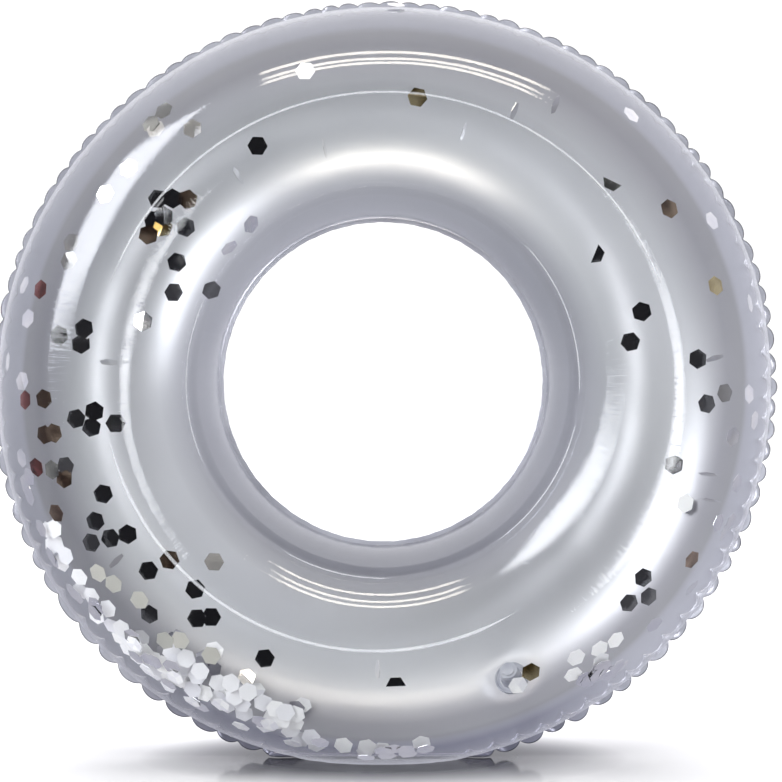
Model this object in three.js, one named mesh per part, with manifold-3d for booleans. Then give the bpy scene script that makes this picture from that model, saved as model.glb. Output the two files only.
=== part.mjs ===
import * as THREE from 'three';
import Module from 'manifold-3d';
import { mergeVertices } from 'three/addons/utils/BufferGeometryUtils.js';

// Inflatable pool ring standing on its edge. Millimetres, +Z up, clear side facing -Y.
// The ring's axis runs along Y, and the flattened foot rests on Z = 0.

// Air tube and its two sheets.
const CENTRE_Z = 260;
const RING_R = 188.75;
const TUBE_R = 75.25;
const FILM_T = 0.5;
const EDGE_Y = 0.7;
const FRONT = -1;
const BACK = 1;

// Welded seams, where the two sheets meet at the outer edge and around the hole.
const SEAM_T = 0.8;
const OUTER_ROOT_R = 262.8;
const OUTER_BEND_R = 264.9;
const OUTER_TIP_R = 269;
const SCALLOPS = 78;
const SCALLOP_DEPTH = 1.5;
const INNER_SEAM_R = 110.5;
const INNER_ROOT_R = 115;
const BEAD_H = 0.3;

// Foot: the sheets press flat on the floor and the outer flange folds under the front sheet.
const GROOVE_HALF_W = 7;
const GROOVE_H = 1.6;
const FOLD_Z = 0.65;

// Valve on the back sheet, low on the right as seen from the front.
const VALVE_THETA = -66.6;
const VALVE_PHI = 51.4;
const VALVE_SINK = 0.9;
const FLAT_R = 16;
const BLEND_R = 27;
const FILM_HOLE_R = 9.2;
const FLANGE_IN_R = 8.3;
const FLANGE_OUT_R = 12.2;
const STEM_OUT_R = 4.8;
const BORE_R = 3.4;
const SEAT_R = 2.6;
const COLLAR_R = 6.4;
const STEM_END = -13.7;
const STEM_TOP = -1.2;
const PLUG_CAP_R = 5.2;

// Hexagonal sequins inside the tube.
const SEQUIN_FLATS = 11.5;
const SEQUIN_T = 0.3;

// Sequins that cling to the sheets: clock angle, section angle (0 at the outer seam,
// 180 at the hole), sheet, spin and distance from the sheet.
const CLINGING = [
  [104, 74, FRONT, 12, 2.5],
  [83, 92, FRONT, 25, 2.5],
  [41, 82, FRONT, 18, 2.5],
  [118, 102, FRONT, 0, 2.5],
  [31, 65, FRONT, 8, 2.5],
  [31, 112, FRONT, 15, 2.5],
  [15, 101, FRONT, 28, 2.5],
  [9, 110, FRONT, 3, 2.5],
  [4, 76, FRONT, 22, 2.5],
  [-2, 60, FRONT, 10, 2.5],
  [-4, 70, FRONT, 52, 4.5],
  [-9, 51, FRONT, 27, 2.5],
  [-16, 83, FRONT, 40, 2.5],
  [-22, 48, BACK, 6, 2.5],
  [-37, 70, FRONT, 14, 2.5],
  [-42, 67, FRONT, 33, 2.5],
  [-66, 66, FRONT, 9, 2.5],
  [-63, 69, FRONT, 31, 4.5],
  [-88, 85, FRONT, 37, 2.5],
  [-113, 84, FRONT, 0, 2.5],
  [-122, 75, FRONT, 16, 2.5],
  [-132, 95, FRONT, 24, 2.5],
  [-126, 89, FRONT, 5, 2.5],
  [-140, 96, FRONT, 11, 2.5],
  [-141, 84, FRONT, 29, 2.5],
  [-149, 86, FRONT, 4, 2.5],
  [-154, 74, FRONT, 19, 2.5],
  [-158, 84, FRONT, 26, 2.5],
  [-171, 66, FRONT, 35, 2.5],
  [-173, 80, FRONT, 7, 2.5],
  [170, 83, FRONT, 48, 2.5],
  [139, 96, FRONT, 13, 2.5],
];

// Sequins gathered low on the left: first clock angle, step, and two rows on each sheet.
const HEAP_START = -104;
const HEAP_STEP = -4.2;
const HEAP_COLUMNS = 8;
const HEAP_ROWS = [30, 44];
const HEAP_GAP = 3;

const wasm = await Module();
wasm.setup();

const group = new THREE.Group();
group.name = 'inflatable_pool_ring';

const PAINT = {
  clear: { color: 0xe6ecef, roughness: 0.08, metalness: 0, opacity: 0.3, transparent: true },
  silver: { color: 0xb4b8bd, roughness: 0.3, metalness: 0.6 },
  valve: { color: 0xcdd3d6, roughness: 0.25, metalness: 0 },
  sequin: { color: 0x8d9197, roughness: 0.1, metalness: 0.9 },
};

function addPart(name, geometry, paint) {
  const mesh = new THREE.Mesh(geometry, new THREE.MeshStandardMaterial(PAINT[paint]));
  mesh.name = name;
  group.add(mesh);
}

function radians(degrees) {
  return (degrees * Math.PI) / 180;
}

// Turns a closed surface so that its faces point outwards.
function facingOut(geometry) {
  const position = geometry.getAttribute('position');
  const index = Array.from(geometry.getIndex().array);
  const a = new THREE.Vector3();
  const b = new THREE.Vector3();
  const c = new THREE.Vector3();
  let volume = 0;
  for (let i = 0; i < index.length; i += 3) {
    a.fromBufferAttribute(position, index[i]);
    b.fromBufferAttribute(position, index[i + 1]);
    c.fromBufferAttribute(position, index[i + 2]);
    volume += a.dot(b.cross(c));
  }
  if (volume < 0) {
    index.reverse();
  }
  geometry.setIndex(index);
  geometry.computeVertexNormals();
  return geometry;
}

function indexed(positions, index) {
  const geometry = new THREE.BufferGeometry();
  geometry.setAttribute('position', new THREE.Float32BufferAttribute(positions, 3));
  geometry.setIndex(index);
  return facingOut(geometry);
}

function welded(geometry) {
  const bare = new THREE.BufferGeometry();
  bare.setAttribute('position', geometry.getAttribute('position'));
  if (geometry.getIndex()) {
    bare.setIndex(geometry.getIndex());
  }
  return facingOut(mergeVertices(bare, 1e-4));
}

function toSolid(geometry) {
  const clean = welded(geometry);
  const vertProperties = Float32Array.from(clean.getAttribute('position').array);
  const triVerts = Uint32Array.from(clean.getIndex().array);
  return new wasm.Manifold(new wasm.Mesh({ numProp: 3, vertProperties, triVerts }));
}

function fromSolid(solid) {
  const mesh = solid.getMesh();
  return indexed(Array.from(mesh.vertProperties), Array.from(mesh.triVerts));
}

// A point of the tube: theta around the ring, phi around the section from the outer seam.
function tubePoint(side, theta, phi, radius) {
  const reach = RING_R + radius * Math.cos(phi);
  const x = reach * Math.cos(theta);
  const y = side * radius * Math.sin(phi);
  const z = CENTRE_Z + reach * Math.sin(theta);
  return new THREE.Vector3(x, y, z);
}

function tubeNormal(side, theta, phi) {
  const reach = Math.cos(phi);
  const x = reach * Math.cos(theta);
  const z = reach * Math.sin(theta);
  return new THREE.Vector3(x, side * Math.sin(phi), z);
}

// Frame that carries local X around the ring, local Y out of the sheet.
function sheetFrame(side, theta, phi, radius) {
  const out = tubeNormal(side, theta, phi);
  const along = new THREE.Vector3(-Math.sin(theta), 0, Math.cos(theta));
  const across = new THREE.Vector3().crossVectors(along, out);
  const frame = new THREE.Matrix4().makeBasis(along, out, across);
  return frame.setPosition(tubePoint(side, theta, phi, radius));
}

const valveFrame = sheetFrame(
  BACK, radians(VALVE_THETA), radians(VALVE_PHI), TUBE_R - VALVE_SINK,
);
const valveInverse = valveFrame.clone().invert();

// The stiff valve base holds the sheet flat around itself.
function flattenAtValve(point, depth) {
  const local = point.clone().applyMatrix4(valveInverse);
  const reach = Math.hypot(local.x, local.z);
  if (reach < BLEND_R && local.y > -30) {
    const blend = 1 - THREE.MathUtils.smoothstep(reach, FLAT_R, BLEND_R);
    local.y = THREE.MathUtils.lerp(local.y, -depth, blend);
    point.copy(local.applyMatrix4(valveFrame));
  }
}

function standOnFoot(point, depth) {
  const level = Math.abs(point.y) < GROOVE_HALF_W ? GROOVE_H : 0;
  point.z = Math.max(point.z, level + depth);
}

// Thin sheet: an outer and an inner surface joined by a rim along each seam.
function sheetGeometry(side, thetas, phis) {
  const n = thetas.length;
  const m = phis.length;
  const positions = [];
  for (const depth of [0, FILM_T]) {
    for (const theta of thetas) {
      for (const phi of phis) {
        const point = tubePoint(side, theta, phi, TUBE_R - depth);
        if (side === BACK) {
          flattenAtValve(point, depth);
        }
        standOnFoot(point, depth);
        positions.push(point.x, point.y, point.z);
      }
    }
  }
  const inner = n * m;
  const index = [];
  for (let i = 0; i < n; i += 1) {
    const next = (i + 1) % n;
    for (let j = 0; j < m - 1; j += 1) {
      const a = i * m + j;
      const b = next * m + j;
      index.push(a, b, b + 1, a, b + 1, a + 1);
      index.push(inner + a, inner + b + 1, inner + b);
      index.push(inner + a, inner + a + 1, inner + b + 1);
    }
    const p = i * m;
    const q = next * m;
    index.push(p, inner + p, inner + q, p, inner + q, q);
    const r = p + m - 1;
    const s = q + m - 1;
    index.push(r, s, inner + s, r, inner + s, inner + r);
  }
  return indexed(positions, index);
}

function evenAngles(first, last, count) {
  const angles = [];
  for (let i = 0; i < count; i += 1) {
    angles.push(radians(first + ((last - first) * i) / (count - 1)));
  }
  return angles;
}

function sorted(angles) {
  return angles.slice().sort((a, b) => a - b);
}

function withoutNear(angles, centre, reach) {
  return angles.filter((angle) => Math.abs(angle - radians(centre)) > radians(reach));
}

const rim = (Math.asin(EDGE_Y / TUBE_R) * 180) / Math.PI;
const aroundRing = sorted([
  ...evenAngles(-180, 175, 72), radians(-102.5), radians(-77.5),
]);
const footPhis = [rim, 5, 6, 12, 18.8].map(radians);
const innerPhis = evenAngles(105, 180 - rim, 6);
const frontPhis = [...footPhis, ...evenAngles(32, 90, 5), ...innerPhis];
const valveThetas = [-6.6, -3.9, -2.3, 0, 2.3, 3.9, 6.6];
const valvePhis = [-20, -12.2, -7, 0, 7, 12.2, 20];

function frontSheet() {
  return sheetGeometry(FRONT, aroundRing, frontPhis);
}

function backSheet() {
  const thetas = sorted([
    ...withoutNear(aroundRing, VALVE_THETA, 7.5),
    ...valveThetas.map((step) => radians(VALVE_THETA + step)),
  ]);
  const phis = [
    ...footPhis, radians(25),
    ...valvePhis.map((step) => radians(VALVE_PHI + step)),
    radians(80.5), radians(90), ...innerPhis,
  ];
  const hole = new THREE.CylinderGeometry(FILM_HOLE_R, FILM_HOLE_R, 12, 36);
  hole.applyMatrix4(valveFrame);
  const sheet = toSolid(sheetGeometry(BACK, thetas, phis));
  return fromSolid(sheet.subtract(toSolid(hole)));
}

// Outer weld: a flat strip with a scalloped edge that folds towards the front at the foot.
function outerSeam() {
  const columns = SCALLOPS * 3;
  const half = SEAM_T / 2;
  const positions = [];
  for (let i = 0; i < columns; i += 1) {
    const psi = (2 * Math.PI * i) / columns;
    const down = Math.cos(psi);
    const side = Math.sin(psi);
    const scallop = SCALLOP_DEPTH * (1 - Math.abs(Math.sin((Math.PI * i) / 3)));
    let bendR = OUTER_BEND_R;
    let rootR = OUTER_ROOT_R;
    let fold = 0;
    const width = OUTER_TIP_R - OUTER_BEND_R - scallop;
    if (down > 0.9) {
      const floorR = (CENTRE_Z - FOLD_Z) / down;
      rootR = Math.min(rootR, floorR - (OUTER_BEND_R - OUTER_ROOT_R));
      bendR = Math.min(bendR, floorR);
      const drop = (CENTRE_Z - bendR * down - FOLD_Z) / (width * down);
      fold = Math.acos(THREE.MathUtils.clamp(drop, 0, 1));
    }
    const tipR = bendR + width * Math.cos(fold);
    const tipY = -width * Math.sin(fold);
    const tipNy = half * Math.cos(fold);
    const tipNr = half * Math.sin(fold);
    const midNy = half * Math.cos(fold / 2);
    const midNr = half * Math.sin(fold / 2);
    const section = [
      [rootR, half], [bendR + midNr, midNy], [tipR + tipNr, tipY + tipNy],
      [tipR - tipNr, tipY - tipNy], [bendR - midNr, -midNy], [rootR, -half],
    ];
    for (const [r, y] of section) {
      positions.push(r * side, y, CENTRE_Z - r * down);
    }
  }
  return indexed(positions, loopIndex(columns, 6));
}

// Joins closed sections of `sides` points into a closed ring.
function loopIndex(columns, sides) {
  const index = [];
  for (let i = 0; i < columns; i += 1) {
    const next = (i + 1) % columns;
    for (let j = 0; j < sides; j += 1) {
      const k = (j + 1) % sides;
      const a = i * sides + j;
      const b = next * sides + j;
      const c = next * sides + k;
      const d = i * sides + k;
      index.push(a, b, c, a, c, d);
    }
  }
  return index;
}

// Inner weld: a flat ring around the hole with one raised bead on each face.
function innerSeam() {
  const half = SEAM_T / 2;
  const profile = [
    [INNER_SEAM_R, half], [INNER_SEAM_R + 0.8, half + BEAD_H], [INNER_SEAM_R + 1.6, half],
    [INNER_ROOT_R, half], [INNER_ROOT_R, -half], [INNER_SEAM_R + 1.6, -half],
    [INNER_SEAM_R + 0.8, -half - BEAD_H], [INNER_SEAM_R, -half],
  ];
  const positions = [];
  for (let i = 0; i < 72; i += 1) {
    const psi = (2 * Math.PI * i) / 72;
    for (const [r, y] of profile) {
      positions.push(r * Math.cos(psi), y, CENTRE_Z + r * Math.sin(psi));
    }
  }
  return indexed(positions, loopIndex(72, profile.length));
}

// Turned piece in the valve's frame: closed profile of [radius, height] pairs.
function turned(profile, segments) {
  const points = profile.map(([r, y]) => new THREE.Vector2(r, y));
  return welded(new THREE.LatheGeometry(points, segments));
}

function atValve(geometry) {
  return geometry.applyMatrix4(valveFrame);
}

function valveFlange() {
  const top = -FILM_T - 0.3;
  return atValve(turned([
    [FLANGE_IN_R, top], [FLANGE_OUT_R, top], [FLANGE_OUT_R, top - 1.4],
    [FLANGE_OUT_R - 1, top - 1.4], [FLANGE_OUT_R - 1.6, top - 0.9],
    [FLANGE_IN_R, top - 0.9], [FLANGE_IN_R, top],
  ], 40));
}

// Soft skirt between the flange and the foot of the stem.
function valveCuff() {
  return atValve(turned([
    [8, -0.9], [8, -2.4], [7.3, -6], [7.5, -7.2], [6.9, -9], [6.6, -12.4],
    [5.9, -12.4], [6.2, -9], [6.8, -7.2], [6.6, -6], [7.3, -2.5], [7.3, -0.9], [8, -0.9],
  ], 36));
}

function valveStem() {
  const tube = toSolid(turned([
    [SEAT_R, STEM_END], [COLLAR_R, STEM_END], [COLLAR_R, STEM_END + 0.9],
    [STEM_OUT_R, STEM_END + 0.9], [STEM_OUT_R, STEM_TOP - 0.8],
    [STEM_OUT_R + 0.6, STEM_TOP - 0.8], [STEM_OUT_R + 0.6, STEM_TOP],
    [BORE_R, STEM_TOP], [BORE_R, STEM_END + 1.1], [SEAT_R, STEM_END + 0.9],
    [SEAT_R, STEM_END],
  ], 36));
  const lug = new THREE.BoxGeometry(1.6, 0.8, 3);
  lug.translate(-5.7, STEM_TOP - 0.4, 0);
  return atValve(fromSolid(tube.add(toSolid(lug))));
}

// One-way flap under the stem's inner end, with its hinge tab on one side.
function valveFlap() {
  const disc = toSolid(new THREE.CylinderGeometry(4.2, 4.2, 0.5, 32));
  const tab = toSolid(new THREE.BoxGeometry(2, 0.5, 2.4).translate(-4.2, 0, 0));
  return atValve(fromSolid(disc.add(tab)).translate(0, STEM_END - 0.55, 0));
}

function valvePlug() {
  const base = STEM_TOP + 0.3;
  const body = toSolid(turned([
    [0, base - 3.5], [1.7, base - 3.5], [2.1, base - 3.1], [2.6, base - 1.6],
    [3, base], [PLUG_CAP_R, base], [PLUG_CAP_R, base + 0.9], [4.6, base + 1.4],
    [0, base + 1.6],
  ], 36));
  const grip = new THREE.BoxGeometry(1, 1.2, 5);
  grip.translate(0, base + 1.7, 0);
  return atValve(fromSolid(body.add(toSolid(grip))));
}

// Strap ring around the plug's cap with the tab that hinges on the stem's lug.
function plugTether() {
  const base = STEM_TOP + 0.3;
  const eye = toSolid(turned([
    [5.5, base], [6.2, base], [6.2, base + 0.6], [5.5, base + 0.6], [5.5, base],
  ], 36));
  const tab = toSolid(new THREE.BoxGeometry(1.2, 0.6, 2.6).translate(-6.3, base + 0.3, 0));
  const clearance = toSolid(new THREE.CylinderGeometry(5.5, 5.5, 3, 36).translate(0, base, 0));
  return atValve(fromSolid(eye.add(tab).subtract(clearance)));
}

function sequin(theta, phi, side, spin, gap) {
  const radius = SEQUIN_FLATS / Math.sqrt(3);
  const plate = new THREE.CylinderGeometry(radius, radius, SEQUIN_T, 6);
  plate.rotateY(radians(spin));
  const depth = TUBE_R - FILM_T - gap;
  plate.applyMatrix4(sheetFrame(side, radians(theta), radians(phi), depth));
  return welded(plate);
}

function addClingingSequins() {
  CLINGING.forEach(([theta, phi, side, spin, gap], i) => {
    const number = String(i + 1).padStart(2, '0');
    addPart(`clinging_sequin_${number}`, sequin(theta, phi, side, spin, gap), 'sequin');
  });
}

function addLooseSequins() {
  let count = 0;
  for (const side of [FRONT, BACK]) {
    for (let i = 0; i < HEAP_COLUMNS; i += 1) {
      count += 1;
      const theta = HEAP_START + HEAP_STEP * i;
      const phi = HEAP_ROWS[(i + (side === BACK ? 1 : 0)) % 2];
      const number = String(count).padStart(2, '0');
      const plate = sequin(theta, phi, side, 17 * count, HEAP_GAP);
      addPart(`loose_sequin_${number}`, plate, 'sequin');
    }
  }
}

addPart('front_film', frontSheet(), 'clear');
addPart('back_film', backSheet(), 'silver');
addPart('outer_weld_seam', outerSeam(), 'clear');
addPart('inner_weld_seam', innerSeam(), 'clear');
addPart('valve_flange', valveFlange(), 'valve');
addPart('valve_cuff', valveCuff(), 'valve');
addPart('valve_stem', valveStem(), 'valve');
addPart('valve_flap', valveFlap(), 'valve');
addPart('valve_plug', valvePlug(), 'valve');
addPart('plug_tether', plugTether(), 'valve');
addClingingSequins();
addLooseSequins();

export default group;
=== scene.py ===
import math
import random

import bpy
import numpy as np
from mathutils import Matrix, Quaternion, Vector


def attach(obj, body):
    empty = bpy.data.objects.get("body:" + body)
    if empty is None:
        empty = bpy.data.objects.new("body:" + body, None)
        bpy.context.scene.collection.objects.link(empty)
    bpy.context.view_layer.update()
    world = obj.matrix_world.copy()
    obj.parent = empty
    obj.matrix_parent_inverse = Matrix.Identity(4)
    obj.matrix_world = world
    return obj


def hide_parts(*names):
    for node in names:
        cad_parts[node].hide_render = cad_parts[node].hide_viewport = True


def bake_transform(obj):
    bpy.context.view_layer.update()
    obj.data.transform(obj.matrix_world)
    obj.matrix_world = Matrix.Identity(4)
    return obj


# The shapes are worked out in millimetres and the meshes are in metres. Theta is the angle round the
# ring, 0 at the right and 90 at the top. Phi is the angle over the tube, 0 at the outer seam and 180 at
# the hole.
MM = 0.001
CENTRE_Z = 260.0
RING_R = 188.75
TUBE_R = 75.25
FILM_T = 0.45
EDGE_Y = 0.6
FRONT, BACK = -1, 1

# Columns and sections of each sheet's mesh, and the number of pleats along the outer seam.
COLUMNS = 900
SECTIONS = 50
PUCKERS = 100

# Outer weld: columns, half its thickness, half its bead's, and its middle's height where it lies folded
# on the floor. Its root is inside the sheets' edge, it bends just outside, and the width is from there.
SEAM_COLUMNS = 1500
SEAM_HALF_T = 0.25
BEAD_HALF_T = 0.48
FLOOR_GAP = 0.62
SEAM_ROOT_IN = 1.2
SEAM_BEND_OUT = 0.8
SEAM_WIDTH = 3.9

# Inner weld: columns, the radii of its two edges and of its weld lines, and for the lines half of
# their width and half of the weld's thickness there.
INNER_COLUMNS = 720
INNER_SEAM_R = 110.5
INNER_ROOT_R = 115.0
WELD_LINES = (111.1, 112.1, 113.1)
WELD_LINE_HALF_WIDTH = 0.3
WELD_LINE_HALF_T = 0.5

# Foot: half the width of the groove between the sheets at its top and at the floor, its height, and how
# softly the sheets bend onto the floor.
GROOVE_INNER = 5.5
GROOVE_OUTER = 8.0
GROOVE_H = 1.6
FOOT_SOFTNESS = 0.5

# Valve: its place on the back sheet and how deep it sits. The film lies flat out to the first radius and
# is back on the tube at the second. Points further inward than the reach stay where they are.
VALVE_THETA = math.radians(-66.6)
VALVE_PHI = math.radians(51.4)
VALVE_SINK = 0.9
VALVE_FLAT_R = 15
VALVE_BLEND_R = 27
VALVE_REACH_IN = 30
FILM_HOLE_R = 9.2
CUTTER_SIDES = 64
CUTTER_REACH = 6
CUFF_SIDES = 72

# Raised lines along the front sheet: points along each one.
HIGHLIGHT_RIDGE_POINTS = 160

# The stored attribute "around" holds cos and sin of theta, and phi times this length.
STREAK_LENGTH = 0.03
# Painted shade on the puckered edge near the floor, where the ring stands: by sin of theta, then by how
# far phi is from the seam.
PAINTED_FOOT_SHADE = [(0.0, (0.36, 0.36, 0.44)), (0.35, (0.50, 0.50, 0.57)), (1.0, (1, 1, 1))]
PAINTED_FOOT_SHADE_FROM, PAINTED_FOOT_SHADE_TO = -1.0, -0.74
FOOT_EDGE = [(0.10, (1, 1, 1)), (0.17, (0, 0, 0))]
# Painted shading of the silver film over the tube, from the outer seam to the hole: painted shade towards
# both welds and painted light over the middle.
SILVER_PAINTED_SHADING = [
    (0.00, (0.52, 0.52, 0.58)), (0.13, (0.49, 0.49, 0.54)), (0.155, (0.41, 0.405, 0.43)),
    (0.22, (0.44, 0.435, 0.47)), (0.35, (0.79, 0.80, 0.83)), (0.60, (0.79, 0.80, 0.83)),
    (0.73, (0.42, 0.42, 0.46)), (0.90, (0.36, 0.36, 0.40)), (1.00, (0.42, 0.42, 0.47)),
]

# Sequins, 11.5 mm across flats: corner radius and thickness.
SEQUIN_R = 11.5 / math.sqrt(3)
SEQUIN_T = 0.15
# Sequins folded in the middle: how far each half turns in, in degrees, and the gap to the film.
FOLDED_HALF_ANGLE = 50
FOLDED_GAP = 3.5

# Camera: place in metres, focal length and sensor width in millimetres.
CAMERA_PLACE = (0.0055, -1.19, 0.2535)
CAMERA_LENS = 79.0
SENSOR_WIDTH = 36.0

# Draws for each scattered sequin, some of which land too near another one.
TRIES = 40

# Windows, in metres: name, place, width, height, radiance, colour, roll in degrees.
WINDOWS = [
    ("window_left", (-1.79, -1.50, 1.40), 1.05, 1.6, 7.5, (0.95, 0.97, 1.0), 12),
    ("window_right", (0.82, -2.40, 0.10), 0.38, 0.80, 8.0, (0.97, 0.98, 1.0), 15),
]
# Ceiling lamps that run along X, in metres: place along Y, height, length, thickness.
STRIP_X = 0.045
STRIPS = [(-0.30, 0.86, 0.56, 0.028), (-0.50, 0.99, 0.66, 0.036), (-0.68, 1.08, 0.74, 0.042)]
STRIP_RADIANCE = 9.0
STRIP_COLOUR = (1.0, 0.93, 0.80)
# Wide soft lights: name, strength, angle across in degrees, colour, then tilt and turn in degrees.
FLOOR_SUN = ("floor_light", 3.6, 60, (1, 1, 1), -12)
FILL_SUNS = [
    ("fill_left", 1.9, 50, (0.94, 0.98, 1.0), 58, -50),
    ("fill_right", 1.2, 50, (0.90, 0.98, 1.0), 86, 45),
]

# Brightness of the room at half strength, by direction: from the camera's side to the backdrop, then
# a factor and an added glow from floor to ceiling.
ROOM_DEPTH = [
    (0.00, (0.006, 0.006, 0.007)), (0.14, (0.015, 0.015, 0.017)), (0.30, (0.07, 0.07, 0.075)),
    (0.485, (0.22, 0.22, 0.235)), (0.515, (0.36, 0.36, 0.41)), (1.00, (0.44, 0.44, 0.47)),
]
ROOM_GROUND = [(0.38, (0.6, 0.6, 0.63)), (0.48, (1, 1, 1))]
ROOM_CEILING = [(0.64, (0, 0, 0)), (0.80, (0.16, 0.155, 0.145)), (1.00, (0.34, 0.33, 0.31))]

ROOM_STRENGTH = 2.0
BACKDROP_STRENGTH = 1.12

# Floor: its edges in metres, and its gloss, which fades out between two distances from the foot.
FLOOR_SIDE = 6
FLOOR_NEAR_EDGE = -0.75
FLOOR_GLOSS = 0.2
FLOOR_GLOSS_NEAR = 0.35
FLOOR_GLOSS_FAR = 0.90
# Painted contact shadow on the floor under the foot, out to this far along X and Y, in metres.
PAINTED_CONTACT_SHADOW_REACH = (0.17, 0.095, 1.0)
PAINTED_CONTACT_SHADOW = [
    (0.0, (0.03, 0.03, 0.04)), (0.50, (0.06, 0.06, 0.07)), (0.75, (0.36, 0.36, 0.37)),
    (1.0, (0.72, 0.72, 0.72)),
]

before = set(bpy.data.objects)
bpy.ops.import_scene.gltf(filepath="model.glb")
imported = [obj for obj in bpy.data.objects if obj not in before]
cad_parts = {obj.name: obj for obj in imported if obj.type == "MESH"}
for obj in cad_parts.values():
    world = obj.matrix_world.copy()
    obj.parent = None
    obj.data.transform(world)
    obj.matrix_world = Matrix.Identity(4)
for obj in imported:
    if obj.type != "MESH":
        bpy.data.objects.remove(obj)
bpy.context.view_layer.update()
scene = bpy.context.scene
random.seed(7)


# ---------------------------------------------------------------- camera and light
def add_camera():
    """Level camera near the height of the ring's middle, as far off as the photograph suggests."""
    data = bpy.data.cameras.new("camera")
    data.lens = CAMERA_LENS
    data.sensor_width = SENSOR_WIDTH
    camera = bpy.data.objects.new("camera", data)
    scene.collection.objects.link(camera)
    camera.location = CAMERA_PLACE
    camera.rotation_euler = (math.radians(90), 0, 0)
    scene.camera = camera


def add_panel(name, place, width, height, radiance, colour, roll=0, aim_x=0):
    """A flat soft light that faces the ring's plane at the height of its middle."""
    data = bpy.data.lights.new(name, "AREA")
    data.shape = "RECTANGLE"
    data.size = width
    data.size_y = height
    data.energy = radiance * math.pi * width * height
    data.color = colour
    light = bpy.data.objects.new(name, data)
    scene.collection.objects.link(light)
    light.location = place
    centre = Vector((aim_x, 0, CENTRE_Z * MM))
    light.rotation_mode = "QUATERNION"
    light.rotation_quaternion = (centre - light.location).to_track_quat("-Z", "Y")
    light.rotation_quaternion @= Quaternion((0, 0, 1), math.radians(roll))
    light.visible_camera = False
    return light


def add_lights():
    """Two windows, and three ceiling lamps that show only as reflections."""
    for window in WINDOWS:
        add_panel(*window)
    for i, (y, z, length, thickness) in enumerate(STRIPS):
        place = (STRIP_X, y, z)
        name = f"ceiling_strip_{i}"
        strip = add_panel(name, place, length, thickness, STRIP_RADIANCE, STRIP_COLOUR, aim_x=STRIP_X)
        strip.visible_diffuse = False


def add_sun(name, energy, angle, colour, tilt, turn=0):
    """Wide soft light from far off: tilt 0 shines straight down, tilt 90 along the view."""
    data = bpy.data.lights.new(name, "SUN")
    data.energy = energy
    data.angle = math.radians(angle)
    data.color = colour
    light = bpy.data.objects.new(name, data)
    scene.collection.objects.link(light)
    light.rotation_euler = (math.radians(tilt), 0, math.radians(turn))
    return light


def add_linked_suns(floor):
    """Overhead light for the floor, with the ring's shadow in it, and soft fills for the ring alone."""
    overhead = add_sun(*FLOOR_SUN)
    fills = [add_sun(*fill) for fill in FILL_SUNS]
    for fill in fills:
        fill.visible_glossy = False
    for light in [overhead] + fills:
        linked = bpy.data.collections.new(light.name + "_floor")
        linked.objects.link(floor)
        light.light_linking.receiver_collection = linked
        if light in fills:
            linked.collection_objects[0].light_linking.link_state = "EXCLUDE"


def ramp_node(tree, stops):
    """Colour ramp from (position, colour) stops."""
    node = tree.nodes.new("ShaderNodeValToRGB")
    ramp = node.color_ramp
    while len(ramp.elements) > 1:
        ramp.elements.remove(ramp.elements[-1])
    ramp.elements[0].position = stops[0][0]
    ramp.elements[0].color = (*stops[0][1], 1)
    for place, colour in stops[1:]:
        ramp.elements.new(place).color = (*colour, 1)
    return node


def blend_node(tree, kind, first, second):
    """Two colours mixed in full by a blend mode."""
    node = tree.nodes.new("ShaderNodeMixRGB")
    node.blend_type = kind
    node.inputs["Fac"].default_value = 1.0
    tree.links.new(first.outputs["Color"], node.inputs[1])
    tree.links.new(second.outputs["Color"], node.inputs[2])
    return node


def build_world():
    """White behind the ring, a dim room with a pale ceiling on the camera's side."""
    world = bpy.data.worlds.new("studio")
    scene.world = world
    world.use_nodes = True
    tree = world.node_tree
    tree.nodes.clear()
    coords = tree.nodes.new("ShaderNodeTexCoord")
    split = tree.nodes.new("ShaderNodeSeparateXYZ")
    tree.links.new(coords.outputs["Generated"], split.inputs["Vector"])
    ramps = []
    for axis, stops in (("Y", ROOM_DEPTH), ("Z", ROOM_GROUND), ("Z", ROOM_CEILING)):
        spread = tree.nodes.new("ShaderNodeMapRange")
        spread.inputs["From Min"].default_value = -1
        spread.inputs["From Max"].default_value = 1
        ramp = ramp_node(tree, stops)
        tree.links.new(split.outputs[axis], spread.inputs["Value"])
        tree.links.new(spread.outputs["Result"], ramp.inputs["Fac"])
        ramps.append(ramp)
    walls = blend_node(tree, "MULTIPLY", ramps[0], ramps[1])
    total = blend_node(tree, "ADD", walls, ramps[2])
    around = tree.nodes.new("ShaderNodeBackground")
    around.inputs["Strength"].default_value = ROOM_STRENGTH
    tree.links.new(total.outputs["Color"], around.inputs["Color"])
    plain = tree.nodes.new("ShaderNodeBackground")
    plain.inputs["Color"].default_value = (1, 1, 1, 1)
    plain.inputs["Strength"].default_value = BACKDROP_STRENGTH
    path = tree.nodes.new("ShaderNodeLightPath")
    mix = tree.nodes.new("ShaderNodeMixShader")
    out = tree.nodes.new("ShaderNodeOutputWorld")
    tree.links.new(path.outputs["Is Camera Ray"], mix.inputs["Fac"])
    tree.links.new(around.outputs["Background"], mix.inputs[1])
    tree.links.new(plain.outputs["Background"], mix.inputs[2])
    tree.links.new(mix.outputs["Shader"], out.inputs["Surface"])


add_camera()
add_lights()
build_world()
scene.view_settings.view_transform = "Standard"
scene.cycles.transparent_max_bounces = 32
scene.cycles.max_bounces = 14
scene.cycles.glossy_bounces = 8


# ---------------------------------------------------------------- materials
def new_material(name):
    """A material with its node tree and its shader."""
    material = bpy.data.materials.new(name)
    material.use_nodes = True
    tree = material.node_tree
    return material, tree, tree.nodes["Principled BSDF"]


def noise_node(tree, scale, detail):
    """Noise fixed to the object."""
    coords = tree.nodes.new("ShaderNodeTexCoord")
    noise = tree.nodes.new("ShaderNodeTexNoise")
    noise.inputs["Scale"].default_value = scale
    noise.inputs["Detail"].default_value = detail
    tree.links.new(coords.outputs["Object"], noise.inputs["Vector"])
    return noise


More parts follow.
